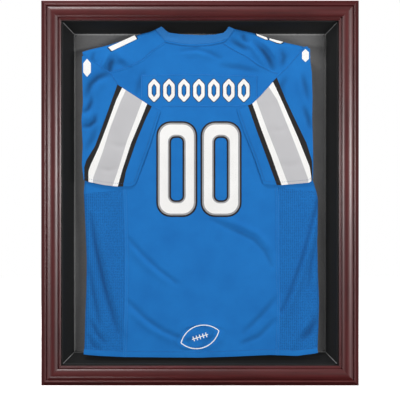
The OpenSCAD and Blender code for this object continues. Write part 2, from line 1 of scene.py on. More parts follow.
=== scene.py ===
# %% [markdown]
# A jersey display case, looked at as a maker would: a mahogany door frame with a clear front,
# a shallow black tray behind it, and a football jersey hung inside on a rod. The hard parts come
# ready made from the CAD frame. This lesson gives them their finishes and makes the cloth.

# %% Load the frame
import math
import bmesh
import bpy
from mathutils import Matrix, Vector, noise


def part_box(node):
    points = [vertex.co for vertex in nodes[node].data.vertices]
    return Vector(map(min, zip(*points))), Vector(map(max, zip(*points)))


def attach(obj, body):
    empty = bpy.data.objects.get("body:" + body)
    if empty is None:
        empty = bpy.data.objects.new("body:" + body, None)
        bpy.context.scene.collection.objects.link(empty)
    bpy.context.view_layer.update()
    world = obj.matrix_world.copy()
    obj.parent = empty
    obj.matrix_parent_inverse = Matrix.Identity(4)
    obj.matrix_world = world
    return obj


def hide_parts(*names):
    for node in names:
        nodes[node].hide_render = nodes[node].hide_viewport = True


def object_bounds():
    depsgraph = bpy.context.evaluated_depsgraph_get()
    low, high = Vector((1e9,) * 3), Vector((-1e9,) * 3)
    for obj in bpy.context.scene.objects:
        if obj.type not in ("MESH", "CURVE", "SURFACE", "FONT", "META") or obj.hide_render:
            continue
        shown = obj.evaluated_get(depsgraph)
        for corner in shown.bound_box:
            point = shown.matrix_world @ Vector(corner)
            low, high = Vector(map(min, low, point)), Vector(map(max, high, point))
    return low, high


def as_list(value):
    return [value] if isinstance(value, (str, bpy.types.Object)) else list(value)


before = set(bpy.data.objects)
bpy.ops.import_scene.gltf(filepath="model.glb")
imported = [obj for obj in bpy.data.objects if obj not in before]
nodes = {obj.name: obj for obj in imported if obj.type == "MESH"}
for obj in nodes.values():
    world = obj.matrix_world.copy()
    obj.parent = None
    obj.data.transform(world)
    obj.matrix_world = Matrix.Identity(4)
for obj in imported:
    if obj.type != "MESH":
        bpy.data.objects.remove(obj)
cad_low, cad_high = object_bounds()
print("frame loaded with", len(nodes), "nodes")

# %% [markdown]
# The camera comes first. A display case is shown square on, so the camera stands well back on the
# centre line with a long lens, which keeps the sides of the tray almost parallel to the view.

# %% Camera
stand_back = 4.076
eye_height = -0.019
camera_data = bpy.data.cameras.new("camera")
camera_data.lens = 131.7
camera_data.sensor_width = 36
camera = bpy.data.objects.new("camera", camera_data)
camera.location = (0, -stand_back, eye_height)
camera.rotation_euler = (math.radians(90), 0, 0)
scene = bpy.context.scene
scene.collection.objects.link(camera)
scene.camera = camera
scene.view_settings.view_transform = "Standard"
print("camera stands", stand_back, "m in front")

# %% [markdown]
# Shader maths reads best as ordinary expressions. Value wraps a socket, so that 1 - mask or
# grain * 0.5 adds the Math node it needs. Finish is one material with a Principled shader, and its
# node method makes any other node from its type, its settings and what goes into its sockets.
# mottled is the plainest finish: a colour, and perhaps a gloss, that changes in soft patches.

# %% Sums of sockets
class Value:
    def __init__(self, finish, socket):
        self.finish = finish
        self.socket = socket

    def math(self, operation, first, second):
        return self.finish.node("ShaderNodeMath", {"operation": operation}, {0: first, 1: second})

    def __add__(self, other):
        return self.math("ADD", self, other)

    def __sub__(self, other):
        return self.math("SUBTRACT", self, other)

    def __rsub__(self, other):
        return self.math("SUBTRACT", other, self)

    def __mul__(self, other):
        return self.math("MULTIPLY", self, other)

    __radd__ = __add__
    __rmul__ = __mul__


print("sums of sockets ready")


# %% One finish
class Finish:
    def __init__(self, name, **constants):
        self.material = bpy.data.materials.new(name)
        self.material.use_nodes = True
        self.tree = self.material.node_tree
        self.shader = self.tree.nodes["Principled BSDF"]
        for socket, value in constants.items():
            self.shader.inputs[socket.replace("_", " ")].default_value = value

    def node(self, kind, settings=None, inputs=None, output=0):
        made = self.tree.nodes.new(kind)
        for key, value in (settings or {}).items():
            if key == "stops":
                for stop, (place, colour) in zip(made.color_ramp.elements, value):
                    stop.position = place
                    stop.color = (*colour, 1)
            else:
                setattr(made, key, value)
        for key, value in (inputs or {}).items():
            if isinstance(value, Value):
                self.tree.links.new(value.socket, made.inputs[key])
            else:
                made.inputs[key].default_value = value
        return Value(self, made.outputs[output])

    def place(self, scale=(1, 1, 1), turn=(0, 0, 0)):
        where = self.node("ShaderNodeTexCoord", output="Object")
        return self.node("ShaderNodeMapping", None,
                         {"Vector": where, "Rotation": turn, "Scale": scale})

    def noise(self, size, stretch=(1, 1, 1), detail=4.0, rough=0.55):
        return self.node("ShaderNodeTexNoise", None, {
            "Vector": self.place(stretch), "Scale": 1 / size, "Detail": detail, "Roughness": rough})

    def between(self, factor, first, second):
        if not isinstance(first, Value):
            first = (*first, 1)
        return self.node("ShaderNodeMix", {"data_type": "RGBA"},
                         {0: factor, 6: first, 7: (*second, 1)}, 2)

    def ramp(self, factor, low, high):
        return self.node("ShaderNodeMapRange", None, {0: factor, 1: low, 2: high})

    def feed(self, socket, value):
        self.tree.links.new(value.socket, self.shader.inputs[socket])

    def colour(self, factor, first, second):
        self.feed("Base Color", self.between(factor, first, second))

    def bump(self, height, distance, strength=1.0):
        self.feed("Normal", self.node("ShaderNodeBump", None, {
            "Height": height, "Distance": distance, "Strength": strength}))


def mottled(name, size, dark, light, rough, spread=0, **constants):
    finish = Finish(name, Roughness=rough, **constants)
    mask = finish.noise(size)
    finish.colour(mask, dark, light)
    if spread:
        finish.feed("Roughness", mask * spread + rough)
    return finish


print("finish helpers ready")

# %% [markdown]
# The studio has a tall soft light on each side, a larger one above, a weak one below and one that
# lights the wall side. Side lights draw the long highlights of a moulding without a glare on the
# clear front. The world is white to the eye and nearly dark to everything else, so the clear front
# stays free of haze.

# %% Lights and world
def soft_light(name, place, size, watts):
    data = bpy.data.lights.new(name, "AREA")
    data.shape = "RECTANGLE"
    data.size, data.size_y = size
    data.energy = watts
    light = bpy.data.objects.new(name, data)
    light.location = place
    light.rotation_euler = (-Vector(place)).to_track_quat("-Z", "Y").to_euler()
    scene.collection.objects.link(light)


soft_light("key_right", (2.55, -2.4, 0.16), (1.5, 0.40), 84)
soft_light("fill_left", (-2.7, -2.1, 0.16), (1.5, 0.40), 54)
soft_light("key_above", (-0.9, -1.6, 2.9), (1.0, 0.8), 58)
soft_light("fill_low", (-0.8, -2.2, -2.4), (0.8, 0.8), 16)
soft_light("back_wash", (-1.5, 2.6, 1.3), (1.4, 1.4), 90)

world = bpy.data.worlds.new("studio")
world.use_nodes = True
scene.world = world
background = world.node_tree.nodes["Background"]
background.inputs["Color"].default_value = (1, 1, 1, 1)
ray = world.node_tree.nodes.new("ShaderNodeLightPath")
dim = world.node_tree.nodes.new("ShaderNodeMapRange")
dim.inputs["To Min"].default_value = 0.03
dim.inputs["To Max"].default_value = 1.0
world.node_tree.links.new(ray.outputs["Is Camera Ray"], dim.inputs["Value"])
world.node_tree.links.new(dim.outputs[0], background.inputs["Strength"])
print("studio lit")

# %% [markdown]
# Every new piece starts in bmesh. add_piece makes it an object with its place in its mesh. thicken
# gives a sheet its other face and keeps the cut edges crisp. face_front turns a sheet that looks
# at the wall round to the room. belongs says which body the piece rides on and which CAD node it
# stands for, and hides that node.

# %% Piece helpers
crisp_edge = math.radians(50)


def add_piece(name, bm, finish, smooth=True):
    mesh = bpy.data.meshes.new(name)
    bm.to_mesh(mesh)
    bm.free()
    piece = bpy.data.objects.new(name, mesh)
    scene.collection.objects.link(piece)
    mesh.materials.append(finish.material)
    mesh.polygons.foreach_set("use_smooth", [smooth] * len(mesh.polygons))
    return piece


def thicken(bm, thickness):
    bm.normal_update()
    bmesh.ops.solidify(bm, geom=bm.faces[:], thickness=thickness)
    for edge in bm.edges:
        if edge.is_manifold and edge.calc_face_angle() > crisp_edge:
            edge.smooth = False


def face_front(bm):
    if sum(face.normal.y * face.calc_area() for face in bm.faces) > 0:
        bmesh.ops.reverse_faces(bm, faces=bm.faces)


def belongs(piece, body, node=None):
    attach(piece, body)
    if node:
        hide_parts(node)


print("piece helpers ready")

# %% Floor
floor_gap = 0.03
pale = mottled("pale_paper", 0.004, (0.86, 0.86, 0.85), (0.9, 0.9, 0.89), 0.9,
               Emission_Strength=1.0, Emission_Color=(1, 1, 1, 1))
bm = bmesh.new()
bmesh.ops.create_grid(bm, x_segments=8, y_segments=8, size=6.0,
                      matrix=Matrix.Translation((0, 0, cad_low.z - floor_gap)))
paper = add_piece("studio_paper", bm, pale)
paper.visible_diffuse = False
paper.visible_glossy = False
print("floor laid", floor_gap, "m below the case")

# %% [markdown]
# The mouldings are poplar stained and lacquered to a deep mahogany. Real grain runs along each
# stick, so the same finish is made twice, stretched along X for the rails and along Z for the
# stiles. Fine pores and a slow change of colour sit under a clear coat, as lacquer does.

# %% Wood finishes
def stained_wood(name, along, dark, light, rough, coat):
    wood = Finish(name, Coat_Roughness=0.25, Coat_IOR=1.55)
    stretch = tuple(0.05 if axis == along else 1.0 for axis in "XYZ")
    figure = wood.noise(0.012, stretch, detail=6.0)
    pores = wood.noise(0.0012, stretch, detail=3.0)
    clouds = wood.noise(0.16)
    tone = wood.ramp(figure * 0.65 + clouds * 0.35, 0.34, 0.66)
    colour = wood.between(tone, dark, light)
    dots = wood.ramp(pores, 0.62, 0.75)
    pore_colour = tuple(0.45 * part for part in dark)
    wood.colour(dots * 0.6, colour, pore_colour)
    wood.feed("Roughness", figure * 0.12 + rough)
    wood.feed("Coat Weight", clouds * 0.15 + coat)
    wood.bump(pores * 0.7 + figure * 0.3, 0.00008, 0.5)
    return wood


mahogany = ((0.050, 0.0046, 0.0050), (0.105, 0.0105, 0.0112), 0.42, 0.28)
case_stain = ((0.018, 0.009, 0.006), (0.04, 0.02, 0.013), 0.5, 0)
mahogany_x = stained_wood("mahogany_along_x", "X", *mahogany)
mahogany_z = stained_wood("mahogany_along_z", "Z", *mahogany)
case_x = stained_wood("case_wood_along_x", "X", *case_stain)
case_z = stained_wood("case_wood_along_z", "Z", *case_stain)
pine_x = stained_wood("pine_along_x", "X", (0.30, 0.17, 0.075), (0.50, 0.33, 0.17), 0.6, 0)
print("wood finishes made")

# %% [markdown]
# The tray is vacuum formed black styrene with a fine leather grain. The board on its floor is
# pressed charcoal fibre, speckled lighter and darker. The rear panel is plain brown hardboard,
# smooth on one side, with loose fibres in its colour.

# %% Sheet finishes
tray_black = Finish("tray_styrene", Specular_IOR_Level=0.3)
cells = tray_black.node("ShaderNodeTexVoronoi", {"feature": "DISTANCE_TO_EDGE"},
                        {"Vector": tray_black.place(), "Scale": 900.0})
soil = tray_black.noise(0.08)
tray_black.colour(soil, (0.0040, 0.0040, 0.0042), (0.0062, 0.0062, 0.0064))
tray_black.feed("Roughness", soil * 0.1 + 0.42)
tray_black.bump(tray_black.ramp(cells, 0.0, 0.25), 0.00008, 0.4)

charcoal = Finish("charcoal_fibre_board", Roughness=0.85)
speck = charcoal.noise(0.0011, detail=2.0)
cloud = charcoal.noise(0.05)
mottle = charcoal.ramp(speck * 0.75 + cloud * 0.25, 0.3, 0.7)
charcoal.colour(mottle, (0.105, 0.104, 0.103), (0.19, 0.188, 0.187))
charcoal.bump(speck, 0.0002, 0.6)

hardboard = Finish("hardboard_panel")
fibre = hardboard.noise(0.003, (1, 1, 0.4), detail=8.0, rough=0.7)
hardboard.colour(hardboard.ramp(fibre, 0.3, 0.7), (0.085, 0.045, 0.024), (0.17, 0.10, 0.055))
hardboard.feed("Roughness", fibre * 0.2 + 0.6)
hardboard.bump(fibre, 0.0002, 0.5)
print("sheet finishes made")

# %% [markdown]
# Metal fittings are small, so each has one quiet finish: zinc plated steel with a mottled bloom,
# antique brass darkened in patches, and bright nickel on the magnets. The front and the rod are
# clear acrylic with the faintest dust, and the emblem on it is opaque white ink.

# %% Metal and clear finishes
def metal(name, dark, light, rough):
    plate = Finish(name, Metallic=1.0)
    bloom = plate.noise(0.006)
    brushed = plate.noise(0.0006, (0.1, 1, 1))
    plate.colour(bloom, dark, light)
    plate.feed("Roughness", bloom * 0.25 + rough)
    plate.bump(brushed, 0.00003, 0.4)
    return plate


zinc = metal("zinc_plated_steel", (0.50, 0.50, 0.48), (0.74, 0.73, 0.70), 0.25)
brass = metal("antique_brass", (0.16, 0.10, 0.04), (0.48, 0.33, 0.13), 0.3)
nickel = metal("bright_nickel", (0.58, 0.57, 0.55), (0.76, 0.75, 0.73), 0.1)


def clear(name, alpha, spread, rough, level):
    sheet = Finish(name, Specular_IOR_Level=level, IOR=1.49)
    dust = sheet.noise(0.002, detail=6.0)
    sheet.colour(dust, (0.80, 0.84, 0.86), (0.92, 0.95, 0.96))
    sheet.feed("Roughness", dust * 0.06 + rough)
    sheet.feed("Alpha", sheet.ramp(dust, 0.2, 0.9) * spread + alpha)
    return sheet


glazing = clear("clear_front", 0.002, 0.003, 0.05, 0.2)
clear_rod = clear("clear_rod", 0.28, 0.10, 0.12, 0.5)

white_ink = mottled("white_ink", 0.0015, (0.84, 0.87, 0.90), (0.95, 0.96, 0.97), 0.4, 0.1)
print("metal and clear finishes made")

# %% Dress the CAD nodes
finish_of_slot = {
    "mahogany": mahogany_x, "case_wood": case_x, "rail_wood": pine_x, "hardboard": hardboard,
    "clear_acrylic": clear_rod, "white_print": white_ink, "black_tray": tray_black,
    "charcoal_board": charcoal, "zinc_steel": zinc, "antique_brass": brass,
    "magnet_nickel": nickel}
upright_sticks = {
    "door_left_stile": mahogany_z, "door_right_stile": mahogany_z,
    "case_left_board": case_z, "case_right_board": case_z, "glazing_panel": glazing}
dressed = 0
for name, node in nodes.items():
    for place in node.material_slots:
        slot_name = place.material.name.split(".")[0]
        chosen = upright_sticks.get(name, finish_of_slot.get(slot_name))
        if chosen:
            place.material = chosen.material
            dressed += 1
print("dressed", dressed, "CAD materials")

# %% [markdown]
# The jersey's shape is drawn on the flat, as a cutter would: each edge of each panel is a line of
# a few points, in millimetres across and up from the middle of the case. Line gives the point, in
# metres, at any share of its length, and patch fills four such lines, so a grid bent by it keeps
# the edges exactly.

# %% Lines and patches
class Line:
    def __init__(self, *points):
        self.points = [Vector(point) for point in points]
        self.reach = [0.0]
        for a, b in zip(self.points, self.points[1:]):
            self.reach.append(self.reach[-1] + (b - a).length)
        self.length = self.reach[-1]

    def at(self, share):
        want = min(max(share, 0.0), 1.0) * self.length
        for i in range(len(self.points) - 1):
            if want <= self.reach[i + 1] or i == len(self.points) - 2:
                span = self.reach[i + 1] - self.reach[i]
                return self.points[i].lerp(self.points[i + 1], (want - self.reach[i]) / span)

    def share_at(self, x):
        for i in range(len(self.points) - 1):
            a, b = self.points[i].x, self.points[i + 1].x
            if min(a, b) <= x <= max(a, b) and a != b:
                along = self.reach[i] + (x - a) / (b - a) * (self.reach[i + 1] - self.reach[i])
                return along / self.length
        return 0.0 if abs(x - self.points[0].x) < abs(x - self.points[-1].x) else 1.0

    def part(self, start, end):
        return lambda share: self.at(start + (end - start) * share)


def drawn(*points):
    return Line(*[(x / 1000, z / 1000) for x, z in points])


def patch(low, high, left, right):
    corner = [low(0), low(1), high(0), high(1)]

    def at(u, v):
        across = low(u) * (1 - v) + high(u) * v
        upward = left(v) * (1 - u) + right(v) * u
        flat = ((corner[0] * (1 - u) + corner[1] * u) * (1 - v)
                + (corner[2] * (1 - u) + corner[3] * u) * v)
        return across + upward - flat
    return at


print("line helpers ready")

# %% [markdown]
# Cloth on a rod isn't flat. Each crease here is a height, a width and a line, in millimetres. It
# stands forward of the cloth if the height is positive, and is a dark trough if it is negative.
# It fades at both ends, and slow noise adds the unevenness of a garment that was folded before it
# was hung. The gain and the narrowing set all the creases at once, after a look at the result.

# %% Creases
body_creases = [
    (-3.6, 8, (-300, -60), (-284, -160), (-262, -260), (-226, -385)),
    (3, 16, (-284, -60), (-262, -170), (-238, -270), (-208, -380)),
    (-2.2, 7, (-306, -200), (-290, -290), (-276, -360)),
    (-3.6, 7, (324, -20), (302, -110), (278, -190), (246, -280), (224, -330)),
    (3.2, 15, (318, -80), (292, -180), (262, -270), (236, -350)),
    (-2, 6, (322, -120), (306, -200), (300, -260)),
    (-2, 7, (-196, -126), (-160, -168), (-110, -215), (-62, -250)),
    (1.6, 14, (-190, -150), (-150, -195), (-90, -245)),
    (-2, 7, (-200, -296), (-150, -345), (-100, -380), (-50, -402)),
    (1.5, 12, (-196, -325), (-140, -372), (-80, -405)),
    (-2, 6, (30, -72), (90, -100), (150, -128), (180, -160), (198, -200)),
    (1.6, 10, (50, -65), (110, -88), (160, -112), (192, -150)),
    (-1.6, 7, (208, -290), (170, -335), (120, -385)),
    (-1.8, 7, (206, -350), (160, -395), (115, -415)),
    (-3, 12, (318, -345), (300, -380), (276, -405)),
    (2.6, 12, (300, -350), (280, -385), (262, -420)),
    (-2.2, 7, (-308, -395), (-292, -420), (-276, -432)),
    (-2.2, 7, (-300, -352), (-284, -385), (-262, -412)),
    (-5, 10, (-240, 372), (-248, 352), (-252, 330)),
    (3.4, 10, (-252, 385), (-262, 360), (-268, 345)),
    (-2.6, 8, (-232, 362), (-214, 358), (-200, 346)),
    (2.6, 14, (-230, 392), (-214, 372), (-190, 350)),
    (-2.2, 6, (-293, 385), (-297, 370), (-288, 358)),
    (-2.2, 6, (-50, 392), (-10, 396), (30, 386), (56, 372)),
    (1.4, 12, (-40, 384), (0, 388), (30, 376)),
    (-5, 11, (150, 412), (174, 392), (190, 370), (200, 345)),
    (3.6, 12, (128, 418), (150, 398), (170, 372), (182, 348)),
    (3, 12, (170, 420), (196, 398), (212, 370)),
    (-3.6, 7, (116, 438), (122, 424), (136, 412)),
    (-3.6, 8, (88, 420), (110, 408), (132, 396)),
    (-3, 9, (224, 392), (232, 376), (226, 352)),
    (-2, 8, (-155, 330), (-168, 300), (-174, 272)),
    (-1.8, 8, (60, 350), (110, 346), (160, 334)),
    (-2, 8, (-90, 450), (-82, 436), (-66, 430)),
]
sleeve_creases = [
    (-4.6, 10, (-252, 332), (-282, 318), (-302, 298), (-312, 270)),
    (3.4, 14, (-262, 308), (-284, 292), (-296, 262)),
    (-4, 7, (-321, 224), (-308, 232), (-300, 250), (-298, 272)),
    (-4.2, 7, (-322, 184), (-304, 186), (-290, 198), (-288, 214)),
    (3, 10, (-320, 204), (-306, 208), (-296, 222)),
    (-2.6, 6, (-272, 170), (-262, 186), (-256, 206)),
    (-2.2, 10, (-314, 120), (-296, 150), (-286, 180)),
    (-1.4, 8, (-276, 68), (-252, 60), (-230, 68)),
    (-1.2, 10, (-246, 136), (-222, 126), (-200, 132)),
    (-3, 9, (282, 322), (290, 292), (296, 262)),
    (2.4, 12, (268, 318), (276, 286), (284, 256)),
    (-3, 8, (286, 236), (298, 206), (304, 180)),
    (-2, 10, (236, 318), (222, 292), (226, 262)),
    (-1.2, 10, (196, 176), (216, 170), (244, 178)),
    (-1.2, 10, (226, 80), (246, 74), (272, 80)),
]
print(len(body_creases), "body creases and", len(sleeve_creases), "sleeve creases")

# %% How deep the cloth lies
crease_gain = 2.3
crease_narrow = 0.85


def prepare(creases):
    ready = []
    for height, wide, *points in creases:
        width = wide / 1000 * crease_narrow
        line = drawn(*points).points
        room = 3 * width
        low = (min(p.x for p in line) - room, min(p.y for p in line) - room)
        high = (max(p.x for p in line) + room, max(p.y for p in line) + room)
        ready.append((height / 1000, width, line, low, high))
    return ready


def crease_depth(ready, x, z):
    total = 0.0
    here = Vector((x, z))
    for height, width, line, low, high in ready:
        if not (low[0] < x < high[0] and low[1] < z < high[1]):
            continue
        nearest = 1.0
        share = 0.0
        for i, (a, b) in enumerate(zip(line, line[1:])):
            step = b - a
            t = min(max((here - a).dot(step) / step.length_squared, 0.0), 1.0)
            gap = (a + step * t - here).length
            if gap < nearest:
                nearest = gap
                share = (i + t) / (len(line) - 1)
        fade = math.sin(math.pi * (0.06 + 0.88 * share)) ** 0.6
        total += crease_gain * height * fade * math.exp(-(nearest / width) ** 2)
    return total


body_ready = prepare(body_creases)
sleeve_ready = prepare(sleeve_creases)
body_y = -0.0428
body_reach = (-0.0490, -0.0408)
neck_x = -0.014
neck_half = 0.0925


def body_lift(x, z):
    slow = noise.noise(Vector((x * 9, z * 7, 0.3))) * 0.0016
    gather = noise.noise(Vector((x * 34, z * 9, 2.0))) * 0.0004
    return slow + gather + crease_depth(body_ready, x, z)


def neck_push(x, z):
    rise = min(max((z - 0.430) / 0.025, 0.0), 1.0)
    return 0.0030 * rise * math.exp(-((abs(x - neck_x) - neck_half) / 0.030) ** 2)


def body_front(x, z):
    plain = min(max(body_y - body_lift(x, z), body_reach[0]), body_reach[1])
    return plain - neck_push(x, z)


print("body cloth lies at", body_front(0, 0), "m by the middle")

# %% [markdown]
# The jersey is polyester: a close knit on the body and sleeves, an open mesh down both sides, and
# a ribbed collar. The numbers and stripes are twill, whose threads run at a slant. The knit is
# finer than a millimetre, so it lives in the bump, with only a breath of it in the colour. Cloth
# in the trough of a crease gets little light, so each sheet carries a "fold" attribute that
# darkens it there.

# %% Cloth finishes
wave_period = 0.314


def knit(name, dark, light, pitch=0.0016, turn=0.0):
    cloth = Finish(name, Specular_IOR_Level=0.1)
    cloth.feed("Roughness", cloth.noise(0.03) * 0.14 + 0.66)
    where = cloth.place(turn=(0, turn, 0))
    scale = wave_period / pitch
    courses = cloth.node("ShaderNodeTexWave", {"bands_direction": "Z"},
                         {"Vector": where, "Scale": scale, "Distortion": 0.4}, 1)
    wales = cloth.node("ShaderNodeTexWave", {"bands_direction": "X"},
                       {"Vector": where, "Scale": scale, "Distortion": 0.3}, 1)
    loops = courses * 0.5 + wales * 0.5
    shade = cloth.ramp(cloth.noise(0.06, detail=5.0) * 0.8 + loops * 0.2, 0.25, 0.75)
    trough = cloth.node("ShaderNodeAttribute", {"attribute_name": "fold"}, output="Fac")
    shaded = tuple(part * 0.42 for part in dark)
    cloth.colour(trough, cloth.between(shade, dark, light), shaded)
    cloth.bump(loops, 0.00012, 0.5)
    return cloth


blue_dark = (0.0060, 0.144, 0.470)
blue_light = (0.0100, 0.184, 0.558)
knit_blue = knit("jersey_knit_blue", blue_dark, blue_light)
twill = (0.0012, 0.8)
twill_white = knit("twill_white", (0.86, 0.85, 0.83), (0.95, 0.945, 0.93), *twill)
twill_grey = knit("twill_grey", (0.50, 0.495, 0.51), (0.57, 0.565, 0.58), *twill)
twill_shade = knit("twill_shaded_grey", (0.30, 0.30, 0.31), (0.38, 0.38, 0.39), *twill)
twill_black = knit("twill_black", (0.014, 0.0125, 0.0125), (0.024, 0.022, 0.022), *twill)
print("cloth finishes made")

# %% [markdown]
# The back panel is the widest piece of cloth. It starts as a flat grid, which is bent to the cut
# lines and pushed in and out by the creases. Its side and shoulder edges roll back towards the
# wall, because the cloth carries on round the rod and into the front panel.

# %% Body cut lines
left_side = drawn(
    (-321, -445), (-319, -417), (-317, -350), (-314, -267), (-313, -185), (-317, -80), (-321, 3),
    (-314, 80), (-314, 250), (-318, 340), (-325, 390))
right_side = drawn(
    (324, -441), (327, -371), (329, -303), (326, -237), (324, -138), (326, -19), (321, 5),
    (304, 60), (300, 200), (298, 360), (303, 396))
body_hem = drawn(
    (-321, -445), (-276, -449), (-207, -452), (-100, -453), (0, -453.5), (83, -451), (193, -446),
    (268, -449), (324, -441))
shoulders = drawn(
    (-325, 390), (-300, 397.5), (-255, 408), (-215, 421), (-174, 436), (-130, 448), (-106.5, 458.5),
    (-98, 452), (-87, 442), (-55, 437), (0, 434.5), (41, 436), (64, 440.5), (72, 448), (79, 458.5),
    (94, 453), (130, 446), (152, 441), (190, 429), (229, 417), (284, 405), (303, 396))
body_at = patch(body_hem.at, shoulders.at, left_side.at, right_side.at)
print("hem is", round(body_hem.length, 3), "m and the shoulder line", round(shoulders.length, 3))

# %% Sheets of cloth
roll = 0.010
fold_full = 0.0095
cloth_gauge = 0.0009
cuts = []


def rolled(gap, radius):
    inside = max(0.0, radius - gap) / radius
    return radius * (1 - math.sqrt(1 - min(inside, 0.98) ** 2))


def shoulder_share(x):
    return min(max((abs(x - neck_x) - neck_half - 0.004) / 0.030, 0.0), 1.0)


def cloth_sheet(name, at, front, across, upward, finish, rolls=(0, 0, 0, 0), leave_out=None,
                ready=(), gauge=cloth_gauge):
    bm = bmesh.new()
    fold = bm.verts.layers.float.new("fold")
    bmesh.ops.create_grid(bm, x_segments=across, y_segments=upward, size=0.5)
    wide = (at(1, 0.5) - at(0, 0.5)).length
    high = (at(0.5, 1) - at(0.5, 0)).length
    for vert in bm.verts:
        u, v = vert.co.x + 0.5, vert.co.y + 0.5
        flat = at(u, v)
        gaps = (u * wide, (1 - u) * wide, v * high, (1 - v) * high)
        shares = (*rolls[:3], rolls[3] * shoulder_share(flat.x))
        back = max(rolled(gap, roll) * share for gap, share in zip(gaps, shares))
        vert.co = (flat.x, front(flat.x, flat.y) + back, flat.y)
        vert[fold] = min(max(-crease_depth(ready, flat.x, flat.y) / fold_full, 0.0), 1.0)
    if leave_out:
        gone = [face for face in bm.faces if leave_out(face.index)]
        bmesh.ops.delete(bm, geom=gone, context="FACES")
    cut = sum(face.calc_area() for face in bm.faces)
    thicken(bm, gauge)
    piece = add_piece(name, bm, finish)
    cuts.append((piece, max(wide, cut / high), high, cut))
    print(name, "is", round(wide, 3), "by", round(high, 3), "m")
    return piece


print("cloth is", 1000 * cloth_gauge, "mm thick")

# %% [markdown]
# Two seams run up each side of the body from the hem to about half its height. Outside them the
# cloth is an open mesh that lets the air through, so there the back is cut as three panels side by
# side along those seams.

# %% Mesh cloth and thread
mesh_blue = Finish("jersey_mesh_blue", Roughness=0.75, Specular_IOR_Level=0.1)
cell = mesh_blue.node("ShaderNodeTexVoronoi", {"feature": "F1"},
                      {"Vector": mesh_blue.place((1, 0.0, 1.25)), "Scale": 185.0,
                       "Randomness": 0.25})
hole = 1 - mesh_blue.ramp(cell, 0.16, 0.50)
mesh_tone = mesh_blue.between(mesh_blue.noise(0.05), blue_dark, blue_light)
# In the troughs of creases the fold attribute darkens the mesh as well: painted shade.
mesh_trough = mesh_blue.node("ShaderNodeAttribute", {"attribute_name": "fold"}, output="Fac")
open_mesh = mesh_blue.between(hole * 0.75, mesh_tone, (0.003, 0.058, 0.22))
mesh_blue.colour(mesh_trough, open_mesh, (0.002, 0.045, 0.17))
mesh_blue.bump(1 - hole, 0.0005, 0.6)

rib_blue = Finish("collar_rib_blue", Roughness=0.8, Specular_IOR_Level=0.2)
ribs = rib_blue.node("ShaderNodeTexWave", {"bands_direction": "X"},
                     {"Vector": rib_blue.place(), "Scale": 130.0, "Distortion": 0.3}, 1)
rib_blue.colour(ribs * 0.6 + rib_blue.noise(0.03) * 0.4, blue_dark, (0.028, 0.20, 0.53))
rib_blue.bump(ribs, 0.0003, 0.6)

thread_blue = mottled("thread_blue", 0.0008, (0.006, 0.075, 0.25), (0.012, 0.115, 0.36), 0.5)
thread_light = mottled("thread_light_blue", 0.0008, (0.03, 0.22, 0.60), (0.05, 0.27, 0.68), 0.5)
print("mesh, rib and thread made")

# %% Back panels
columns = 132
rows = 230
side_columns = 23
mesh_rows = 122
side_seams = (side_columns / columns, 1 - side_columns / columns)
mesh_top = mesh_rows / rows


def body_part(name, at, across, upward, finish, rolls, leave_out=None):
    panel = cloth_sheet(name, at, body_front, across, upward, finish, rolls, leave_out, body_ready)
    belongs(panel, "rod", "jersey_back")


def side_part(start, end):
    return lambda u, v: body_at(start + (end - start) * u, v * mesh_top)


def is_mesh(index):
    row, column = divmod(index, columns)
    return row < mesh_rows and not side_columns <= column < columns - side_columns


body_part("jersey_back_panel", body_at, columns, rows, knit_blue, (1, 1, 0, 1), is_mesh)
body_part("jersey_side_mesh_left", side_part(0.0, side_seams[0]), side_columns, mesh_rows,
          mesh_blue, (1, 0, 0, 0))
body_part("jersey_side_mesh_right", side_part(side_seams[1], 1.0), side_columns, mesh_rows,
          mesh_blue, (0, 1, 0, 0))
print("back panel left out", 2 * side_columns * mesh_rows, "squares for the mesh")

# %% [markdown]
# Behind it hangs the front panel, cut in at the armholes where the rod brackets pass, and a strip
# over the rod joins the two at each shoulder. Both are half hidden, so they are plain sheets that
# follow the same cut lines.

# %% Front panel and shoulders
inner_left = drawn(
    (-311, -436), (-306, -267), (-306, -80), (-308, 180), (-262, 200), (-260, 380), (-262, 395))
inner_right = drawn(
    (312, -432), (318, -303), (314, -138), (296, 120), (262, 200), (260, 380), (262, 395))
inner_top = drawn(
    (-262, 395), (-174, 424), (-110, 444), (-88, 428), (0, 380), (64, 428), (82, 444), (152, 430),
    (229, 405), (262, 395))
inner_hem = drawn((-311, -436), (0, -444), (312, -432))
inner_at = patch(inner_hem.at, inner_top.at, inner_left.at, inner_right.at)


inner_y = -0.0205


def inner_front(x, z):
    return inner_y + 0.0008 * noise.noise(Vector((x * 8, z * 6, 5.0)))


belongs(cloth_sheet("jersey_front_panel", inner_at, inner_front, 70, 100, knit_blue),
        "rod", "jersey_front")
strip_depth = 0.0165


def over_rod(name, start, end):
    bm = bmesh.new()
    bmesh.ops.create_grid(bm, x_segments=44, y_segments=8, size=0.5)
    for vert in bm.verts:
        u, v = vert.co.x + 0.5, vert.co.y + 0.5
        edge = shoulders.at(start + (end - start) * u)
        crown = 0.003 * math.sin(math.pi * v)
        vert.co = (edge.x, -0.0350 + 0.0140 * v, edge.y - 0.004 + crown - 0.008 * v)
    cut = sum(face.calc_area() for face in bm.faces)
    thicken(bm, cloth_gauge)
    strip = add_piece(name, bm, knit_blue)
    cuts.append((strip, cut / strip_depth, strip_depth, cut))
    belongs(strip, "rod", "jersey_shoulders")
    print(name, "covers", round(1e4 * cut, 1), "square cm")


over_rod("shoulder_over_rod_left", 0.01, shoulders.share_at(-0.140))
over_rod("shoulder_over_rod_right", shoulders.share_at(0.112), 0.99)

# %% [markdown]
# Each sleeve is a tube pressed flat over the body. Its stripes are strips of twill sewn side by
# side, so every strip is its own patch between two neighbouring lines that run from the armhole
# to the hem. Only the front of the tube is made: its back lies hidden against the body.

